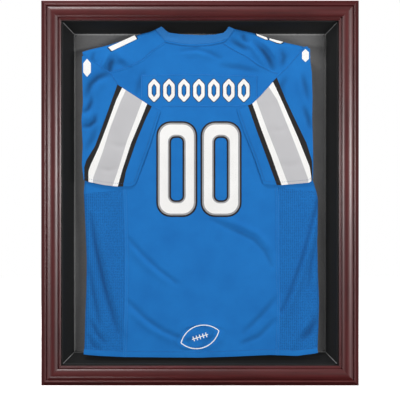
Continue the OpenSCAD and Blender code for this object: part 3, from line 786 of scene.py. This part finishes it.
# %% Sleeve lines
left_armhole = drawn(
    (-325, 378), (-310, 374.5), (-294.5, 361.5), (-262, 338), (-249.5, 332.5), (-227.5, 299),
    (-145.5, 246), (-109, 225))
left_cuff = drawn((-320.5, 36), (-307, 31), (-266, 22.5), (-226.5, 18), (-190, 18.5), (-178, 24))
left_lines = [
    drawn(
        (-325, 378), (-324.5, 330), (-322.5, 250), (-326.5, 200), (-323, 130), (-325.5, 80),
        (-320.5, 36)),
    drawn(
        (-227.5, 299), (-242.4, 256.7), (-266, 191), (-288.5, 130), (-313, 90), (-318.5, 72),
        (-318.5, 35.2)),
    drawn(
        (-214.5, 290.6), (-230.5, 256.7), (-254, 191), (-279, 125), (-302, 75), (-307, 60),
        (-307, 31)),
    drawn(
        (-204, 283.8), (-217, 256.7), (-246, 183), (-267.5, 114), (-283.5, 70), (-293.5, 44),
        (-295, 28.5)),
    drawn((-159, 254.7), (-177.6, 204), (-201, 143.5), (-228, 56), (-241, 19.6)),
    drawn((-145.5, 246), (-162, 204), (-189.5, 138), (-214.6, 61), (-226.5, 18)),
    drawn((-133, 238.8), (-150, 204), (-175, 143.5), (-204, 59), (-212, 18.2)),
    drawn((-109, 225), (-138, 133), (-178, 24))]

right_armhole = drawn(
    (303, 398.5), (288, 403.5), (271, 382), (245.5, 351.5), (208.5, 316), (170, 272), (144.5, 247),
    (132, 242), (100.5, 231.5))
right_cuff = drawn((311, 40), (307.5, 34), (300, 28.5), (225.6, 22), (175, 23.7))
right_lines = [
    drawn(
        (303, 398.5), (304, 362), (308, 331), (310, 264), (309, 207), (311, 138), (311.8, 85),
        (311, 40)),
    drawn((211.3, 318.7), (236.3, 256.7), (265, 196), (293, 138), (308.5, 88), (309.5, 37.5)),
    drawn((200.8, 307.2), (224.4, 256.7), (270.5, 151), (302, 72), (306.5, 42), (306.3, 33)),
    drawn((188.7, 293.4), (212.5, 256.7), (252, 159), (275.8, 98), (297.5, 40), (298, 28.4)),
    drawn((154.5, 256.8), (183.5, 177.5), (212.5, 103.7), (242.7, 23.7)),
    drawn((144, 246.8), (170, 172.3), (196.7, 101), (224.5, 22)),
    drawn((132, 242), (157, 169.5), (183.5, 98), (211.3, 22.5)),
    drawn((100.5, 231.5), (120, 172), (152, 93), (175, 23.7))]
print("sleeve cuffs", round(left_cuff.length, 3), "and", round(right_cuff.length, 3), "m wide")

# %% Sew the sleeves
strip_names = ["outer", "black_outer", "white_outer", "grey", "white_inner", "black_inner",
               "inner"]
stripe_cloth = {"black": twill_black, "white": twill_white, "grey": twill_grey}
stripe_lift = 0.0003
sleeve_reach = (-0.0520, -0.0440)
sleeve_swell = 0.0046
strip_square = 0.0045


def distance_to(line, point):
    return min((line.at(i / 40) - point).length for i in range(41))


def sleeve_front(lines, armhole, proud=0.0):
    def front(x, z):
        here = Vector((x, z))
        from_seam = distance_to(armhole, here)
        from_edges = min(distance_to(lines[0], here), distance_to(lines[-1], here))
        swell = sleeve_swell * (1 - math.exp(-from_seam / 0.030))
        swell *= 1 - 0.75 * math.exp(-from_edges / 0.009)
        lift = body_lift(x, z) * math.exp(-from_seam / 0.05)
        slow = 0.0007 * noise.noise(Vector((x * 11, z * 8, 9.0)))
        creases = crease_depth(sleeve_ready, x, z) * 0.55
        plain = sleeve_reach[1] - lift - swell - slow - creases
        return max(min(plain, sleeve_reach[1]), sleeve_reach[0]) - proud
    return front


def sew_sleeve(side, lines, armhole, cuff):
    for i, word in enumerate(strip_names):
        colour = word.split("_")[0]
        striped = colour in stripe_cloth
        first, second = lines[i], lines[i + 1]
        if side == "right":
            first, second = second, first
        top = armhole.part(armhole.share_at(first.points[0].x),
                           armhole.share_at(second.points[0].x))
        foot = cuff.part(cuff.share_at(first.points[-1].x), cuff.share_at(second.points[-1].x))
        at = patch(foot, top, first.part(1, 0), second.part(1, 0))
        wide = (at(1, 0.6) - at(0, 0.6)).length
        columns_here = max(3, round(wide / strip_square))
        front = sleeve_front(lines, armhole, stripe_lift if striped else 0.0)
        piece = cloth_sheet(f"{side}_sleeve_{word}", at, front, columns_here, 64,
                            stripe_cloth.get(colour, knit_blue),
                            ready=() if striped else sleeve_ready)
        belongs(piece, "rod",
                f"sleeve_stripes_{colour}" if striped else f"{side}_sleeve")


sew_sleeve("left", left_lines, left_armhole, left_cuff)
sew_sleeve("right", right_lines, right_armhole, right_cuff)
print("sewed", 2 * len(strip_names), "sleeve strips")

# %% [markdown]
# The neckband is a ribbed strip that stands a little forward of the body and rises to a point at
# each side, where it folds over the rod. It is drawn between the neck edge and the seam below it.

# %% Neckband
neck_edge = drawn(
    (-106.5, 458.5), (-98, 452), (-87, 442.5), (-55, 437.8), (0, 435.2), (41, 436.8), (64, 441.2),
    (72, 448), (79, 458.5))
neck_seam = drawn(
    (-122, 449), (-110, 436), (-95, 418.5), (-87, 416), (-50, 409.5), (-11, 407.5), (30, 410.5),
    (63, 417), (78, 428), (94, 451.5))
neck_left = drawn((-122, 449), (-106.5, 458.5))
neck_right = drawn((94, 451.5), (79, 458.5))


def band_front(x, z):
    rise = max(0.0, (z - 0.425) / 0.035)
    return body_front(x, z) - 0.0012 - 0.0018 * rise


band_at = patch(neck_seam.at, neck_edge.at, neck_left.at, neck_right.at)
belongs(cloth_sheet("collar_band", band_at, band_front, 60, 12, rib_blue, gauge=0.0016),
        "rod", "jersey_collar")

# %% [markdown]
# The number and the name strip are appliqué: flat shapes of twill, one on another, sewn down. A
# ring is two rounded outlines bridged together, then sliced into small squares so that it can
# follow the cloth under it. Plain zeros and plain six-sided rings stand in for the lettering.

# %% Appliqué rings
def outline(bm, corners, radius):
    verts = [bm.verts.new((x, 0, z)) for x, z in corners]
    face = bm.faces.new(verts)
    if radius:
        bmesh.ops.bevel(bm, geom=verts, affect="VERTICES", offset=radius, offset_type="OFFSET",
                        segments=7, profile=0.5, material=-1)
        face = max(bm.faces, key=lambda f: f.calc_area())
    edges = list(face.edges)
    bmesh.ops.delete(bm, geom=[face], context="FACES_ONLY")
    return edges


def box_corners(middle, wide, high):
    x, z = middle
    return [(x - wide / 2, z - high / 2), (x + wide / 2, z - high / 2),
            (x + wide / 2, z + high / 2), (x - wide / 2, z + high / 2)]


def six_corners(middle, wide, high):
    x, z = middle
    return [(x, z - high / 2), (x + wide / 2, z - high / 4), (x + wide / 2, z + high / 4),
            (x, z + high / 2), (x - wide / 2, z + high / 4), (x - wide / 2, z - high / 4)]


def slice_up(bm, step):
    for axis in (0, 2):
        low = min(vert.co[axis] for vert in bm.verts)
        high = max(vert.co[axis] for vert in bm.verts)
        for i in range(1, int((high - low) / step) + 1):
            place = Vector((0, 0, 0))
            facing = Vector((0, 0, 0))
            place[axis] = low + i * step
            facing[axis] = 1
            everything = bm.verts[:] + bm.edges[:] + bm.faces[:]
            bmesh.ops.bisect_plane(bm, geom=everything, dist=1e-6, plane_co=place,
                                   plane_no=facing)


def applique(name, shapes, lift, thickness, finish, node, step=0.007,
             front=body_front):
    bm = bmesh.new()
    for outer, inner, radii in shapes:
        one = bmesh.new()
        rim = outline(one, outer, radii[0])
        if inner:
            rim += outline(one, inner, radii[1])
            bmesh.ops.bridge_loops(one, edges=rim)
        else:
            bmesh.ops.contextual_create(one, geom=rim)
        slice_up(one, step)
        face_front(one)
        spare = bpy.data.meshes.new("spare")
        one.to_mesh(spare)
        one.free()
        bm.from_mesh(spare)
        bpy.data.meshes.remove(spare)
    for vert in bm.verts:
        vert.co.y = front(vert.co.x, vert.co.z) - lift
    thicken(bm, thickness)
    piece = add_piece(name, bm, finish)
    belongs(piece, "rod", node)
    print(name, "has", len(shapes), "shapes")
    return piece


# %% Name strip
plate_corners = [(-0.164, 0.256), (-0.152, 0.244), (-0.110, 0.238), (0.100, 0.238), (0.157, 0.246),
                 (0.159, 0.325), (0.000, 0.329), (-0.163, 0.327)]
name_strip = applique("name_strip", [(plate_corners, None, (0, 0))], 0.0006, 0.0006, knit_blue,
                      "name_plate", 0.006)
row = [(-0.003 + 0.0412 * i, 0.283) for i in range(-3, 4)]
lozenge_edges = applique("name_lozenge_edges", [
    (six_corners(middle, 0.0350, 0.0700), six_corners(middle, 0.0095, 0.0330), (0.005, 0.002))
    for middle in row], 0.0010, 0.0004, twill_black, "name_lozenges")
lozenge_faces = applique("name_lozenge_faces", [
    (six_corners(middle, 0.0315, 0.0658), six_corners(middle, 0.0130, 0.0372), (0.004, 0.002))
    for middle in row], 0.0014, 0.0004, twill_white, "name_lozenges")

# %% The number
digit_middles = [(-0.064, 0.0662), (0.058, 0.0662)]


def zeros(wide, high, hole_wide, hole_high, radius, hole_radius):
    return [(box_corners(middle, wide, high), box_corners(middle, hole_wide, hole_high),
             (radius, hole_radius)) for middle in digit_middles]


number_edge = applique("number_border_black", zeros(0.113, 0.264, 0.032, 0.172, 0.040, 0.012),
                       0.0007, 0.0006, twill_black, "number_border")
number_line = applique("number_line_grey", zeros(0.1040, 0.2550, 0.0410, 0.1810, 0.0355, 0.0165),
                       0.0012, 0.0005, twill_shade, "number_digits")
number_fill = applique("number_fill_white", zeros(0.0945, 0.2455, 0.0490, 0.1890, 0.0308, 0.0205),
                       0.0017, 0.0005, twill_white, "number_digits")

# %% [markdown]
# A seam in sportswear is a folded edge held by a row of stitches, so it shows as a low ridge with
# short threads along it. The ridge is a strip bent along a line; a thread is a small bead with
# twenty faces, because there are hundreds of them.

# %% Seams and stitches
seam_gauge = 0.0004
thread_half = (0.00035, 0.00045)
thread_share = 0.38


def run_along(line, front, lift):
    def at(distance, aside=0.0):
        share = distance / line.length
        here = line.at(share)
        ahead = line.at(share + 0.002) - line.at(share - 0.002)
        ahead.normalize()
        here = here + Vector((-ahead.y, ahead.x)) * aside
        return Vector((here.x, front(here.x, here.y) - lift, here.y)), ahead
    return at


def seam_ridge(name, lines, front, width, height):
    bm = bmesh.new()
    for line in lines:
        at = run_along(line, front, 0.0)
        made = bmesh.ops.create_grid(bm, x_segments=max(4, int(line.length / 0.006)),
                                     y_segments=4, size=0.5)
        for vert in made["verts"]:
            u, v = vert.co.x + 0.5, vert.co.y * 2
            place, _ = at(u * line.length, v * width / 2)
            place.y -= height * (1 - v * v) + 0.0002
            vert.co = place
    bmesh.ops.recalc_face_normals(bm, faces=bm.faces)
    face_front(bm)
    thicken(bm, seam_gauge)
    piece = add_piece(name, bm, knit_blue)
    belongs(piece, "rod")
    return piece


def stitch_row(name, lines, front, finish, aside=0.0, lift=0.0008, pitch=0.0055):
    bm = bmesh.new()
    count = 0
    for line in lines:
        at = run_along(line, front, lift)
        for i in range(int(line.length / pitch)):
            place, ahead = at((i + 0.5) * pitch, aside)
            turn = math.atan2(ahead.y, ahead.x)
            shape = (Matrix.Translation(place) @ Matrix.Rotation(-turn, 4, "Y")
                     @ Matrix.Diagonal((pitch * thread_share, *thread_half, 1)))
            bmesh.ops.create_icosphere(bm, subdivisions=1, radius=1, matrix=shape)
            count += 1
    piece = add_piece(name, bm, finish)
    belongs(piece, "rod")
    print(name, "has", count, "stitches")
    return piece


def traced(at, steps):
    return Line(*[at(i / steps) for i in range(steps + 1)])


yoke_left = drawn((-94.6, 414.5), (-132, 389), (-156, 367), (-193, 347), (-228, 336), (-248, 332))
yoke_right = drawn((65.6, 413.4), (96, 394), (127, 379), (160, 355), (193, 338), (215, 331))
yokes = [yoke_left, yoke_right]
sides = [traced(lambda share: body_at(across, mesh_top * share), 30) for across in side_seams]
hem_line = traced(lambda share: body_at(share, 0.0095), 40)
collar_line = traced(lambda share: neck_seam.at(0.16 + 0.70 * share), 24)

seams = [seam_ridge("yoke_seams", yokes, body_front, 0.0045, 0.0007),
         seam_ridge("side_seams", sides, body_front, 0.0100, 0.0006),
         seam_ridge("hem_fold", [hem_line], body_front, 0.0150, 0.0005),
         seam_ridge("collar_seam", [collar_line], band_front, 0.0050, 0.0008)]

stitches = [
    stitch_row("yoke_stitches", yokes, body_front, thread_blue, -0.0028),
    stitch_row("side_stitches_a", sides, body_front, thread_light, 0.0032),
    stitch_row("side_stitches_b", sides, body_front, thread_light, -0.0032),
    stitch_row("hem_stitches", [hem_line], body_front, thread_blue, 0.0072),
    stitch_row("collar_stitches_a", [collar_line], body_front, thread_blue, -0.0035, 0.0007),
    stitch_row("collar_stitches_b", [collar_line], band_front, thread_blue, 0.0030, 0.0007)]

# %% Stitches on the sleeves and the strip
left_over = sleeve_front(left_lines, left_armhole)
right_over = sleeve_front(right_lines, right_armhole)


def inset_line(line, other, amount):
    def at(share):
        here = line.at(0.02 + 0.96 * share)
        return here + (other.at(0.02 + 0.96 * share) - here).normalized() * amount
    return traced(at, 20)


for side, lines, armhole, cuff, over in (
        ("left", left_lines, left_armhole, left_cuff, left_over),
        ("right", right_lines, right_armhole, right_cuff, right_over)):
    inner = inset_line(lines[7], lines[6], 0.0065)
    hem = traced(lambda share: cuff.at(0.03 + 0.94 * share) + Vector((0, 0.0085)), 20)
    arm = traced(lambda share: armhole.at(0.02 + 0.96 * share), 30)
    stitches.append(stitch_row(f"{side}_sleeve_stitches", [inner, hem], over, thread_blue))
    stitches.append(stitch_row(f"{side}_armhole_stitches", [arm], body_front, thread_blue,
                               0.0004, 0.0022, 0.0042))
    seams.append(seam_ridge(f"{side}_armhole_seam", [arm], body_front, 0.0050, 0.0013))
strip_rim = drawn((-161.5, 324.5), (-161, 258))
strip_low = drawn((-108, 240.5), (0, 240), (98, 240.5), (130, 244))
strip_high = drawn((-161.5, 324.5), (0, 326.5), (156.5, 322.5))
strip_side = drawn((156.5, 322.5), (155, 249))
stitches.append(stitch_row("name_strip_stitches", [strip_rim, strip_low, strip_high, strip_side],
                           body_front, thread_light, 0.0, 0.0016, 0.0045))

# %% [markdown]
# Part of each shoulder number folds over the rod and only its lower edge shows, as a slanting
# block of white twill with a black edge. Each sleeve also carries a small plain patch near the
# armhole, where a maker would sew a mark.

# %% Shoulder blocks and sleeve patches
def grow(corners, amount):
    middle = Vector((sum(x for x, z in corners), sum(z for x, z in corners))) / len(corners)
    grown = []
    for corner in corners:
        away = Vector(corner) - middle
        grown.append(tuple(middle + away * (1 + amount / away.length)))
    return grown


block_corners = [
    [(-0.2530, 0.4020), (-0.2430, 0.3915), (-0.1740, 0.4245), (-0.1800, 0.4350)],
    [(0.1550, 0.4395), (0.1570, 0.4340), (0.1810, 0.4230), (0.1875, 0.4230), (0.1835, 0.4290)],
    [(0.1915, 0.4268), (0.1915, 0.4220), (0.2115, 0.4142), (0.2220, 0.4120), (0.2295, 0.4165)]]
block_edges = applique("shoulder_block_edges", [(grow(corners, 0.0030), None, (0, 0))
                                                for corners in block_corners],
                       0.0006, 0.0004, twill_black, "number_border", 0.006)
block_faces = applique("shoulder_block_faces", [(corners, None, (0, 0))
                                                for corners in block_corners],
                       0.0011, 0.0004, twill_white, "number_digits", 0.006)


def sleeve_patch(name, middle, wide, high, over, node):
    return applique(name, [(six_corners(middle, wide, high), None, (0, 0))], 0.0006, 0.0005,
                    twill_white, node, 0.004, over)


patches = [sleeve_patch("left_sleeve_patch", (-0.3110, 0.3450), 0.021, 0.050, left_over,
                        "left_sleeve"),
           sleeve_patch("right_sleeve_patch", (0.2905, 0.3790), 0.019, 0.036, right_over,
                        "right_sleeve")]

# %% [markdown]
# The tray behind the jersey is one folded sheet: a floor, four walls that slope out to the mouth
# and a flange under the frame. Walls come from extruding the floor's edges, and a small bevel on
# each fold below the mouth is painted pale grey: a painted highlight for the line where light
# catches a folded sheet.

# %% Tray
# Pale grey for the bevel on each fold: a painted highlight along the folds of the tray.
fold_highlight = mottled("tray_fold_painted_highlight", 0.02, (0.13, 0.13, 0.13), (0.24, 0.24, 0.24), 0.4, 0.1)

floor_low, floor_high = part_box("backing_board")
floor_half = Vector((floor_high.x + 0.003, floor_high.z + 0.003))
mouth_half = Vector((0.3777, 0.4702))
flange_half = Vector((0.4155, 0.5080))
floor_y = -0.0065
mouth_y = -0.0508
tray_gauge = 0.0012


def ring(bm, half, y):
    return [bm.verts.new((sx * half.x, y, sz * half.y))
            for sx, sz in ((-1, -1), (1, -1), (1, 1), (-1, 1))]


def flare(bm, edges, half, y):
    made = bmesh.ops.extrude_edge_only(bm, edges=edges)["geom"]
    for vert in (item for item in made if isinstance(item, bmesh.types.BMVert)):
        vert.co = (math.copysign(half.x, vert.co.x), y, math.copysign(half.y, vert.co.z))
    return [item for item in made if isinstance(item, bmesh.types.BMEdge) and item.is_boundary]


bm = bmesh.new()
floor_face = bm.faces.new(ring(bm, floor_half, floor_y))
rim_edges = flare(bm, list(floor_face.edges), mouth_half, mouth_y)
flare(bm, rim_edges, flange_half, mouth_y)
folds = [edge for edge in bm.edges if not edge.is_boundary]
bmesh.ops.bevel(bm, geom=folds, affect="EDGES", offset=0.0014, offset_type="OFFSET",
                segments=2, profile=0.5, material=1)
# Faces at the mouth and the flange stay black, so the painted highlight runs only on the folds
# inside.
for face in bm.faces:
    if face.calc_center_median().y < mouth_y + 0.004:
        face.material_index = 0
bmesh.ops.recalc_face_normals(bm, faces=bm.faces)
face_front(bm)
tray = add_piece("folded_tray", bm, tray_black, smooth=False)
tray.data.materials.append(fold_highlight.material)
wall = tray.modifiers.new("thickness", "SOLIDIFY")
wall.thickness = tray_gauge
wall.offset = -1
belongs(tray, "case", "tray")
print("tray mouth", [round(2 * part, 4) for part in mouth_half])

# %% [markdown]
# The backing board shows a thin pale line all round its rim, a painted highlight where light
# catches the edge. It is a narrow slanting band from the board's face down to the tray's floor,
# made from one ring of edges that is extruded outwards.

# %% Pale rim of the backing board
# Pale grey for the rim band: a painted highlight where light catches the board's edge.
rim_highlight = mottled("board_rim_painted_highlight", 0.003, (0.30, 0.30, 0.295), (0.46, 0.46, 0.45), 0.7, 0.1,
               Specular_IOR_Level=0.2)
bm = bmesh.new()
board_half = Vector((floor_high.x - 0.0002, floor_high.z - 0.0002))
cut_half = board_half + Vector((0.0026, 0.0026))
board_rim = bm.faces.new(ring(bm, board_half, floor_low.y - 0.0002))
flare(bm, list(board_rim.edges), cut_half, floor_y - 0.0004)
bmesh.ops.delete(bm, geom=[board_rim], context="FACES_ONLY")
bmesh.ops.recalc_face_normals(bm, faces=bm.faces)
face_front(bm)
thicken(bm, 0.0003)
pale_rim_strip = add_piece("backing_board_pale_rim", bm, rim_highlight, smooth=False)
belongs(pale_rim_strip, "case")
print("pale core", round(1000 * (cut_half.x - board_half.x), 1), "mm wide")

# %% [markdown]
# A pattern maker would ask how large each piece of cloth was cut. The flat sizes were kept while
# the sheets were made, before they got their thickness, and now each one is printed. The trims
# that are sewn to each piece are looked up from a table but not used.

trims = {"jersey_back_panel": [name_strip, lozenge_edges, lozenge_faces, number_edge, number_line,
                               number_fill, block_edges, block_faces, *seams, *stitches],
         "left_sleeve_outer": [patches[0]],
         "right_sleeve_outer": [patches[1]]}
for piece, wide, long, area in cuts:
    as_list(trims.get(piece.name, []))
    print(piece.name, "was cut", round(wide, 3), "by", round(long, 3), "m")
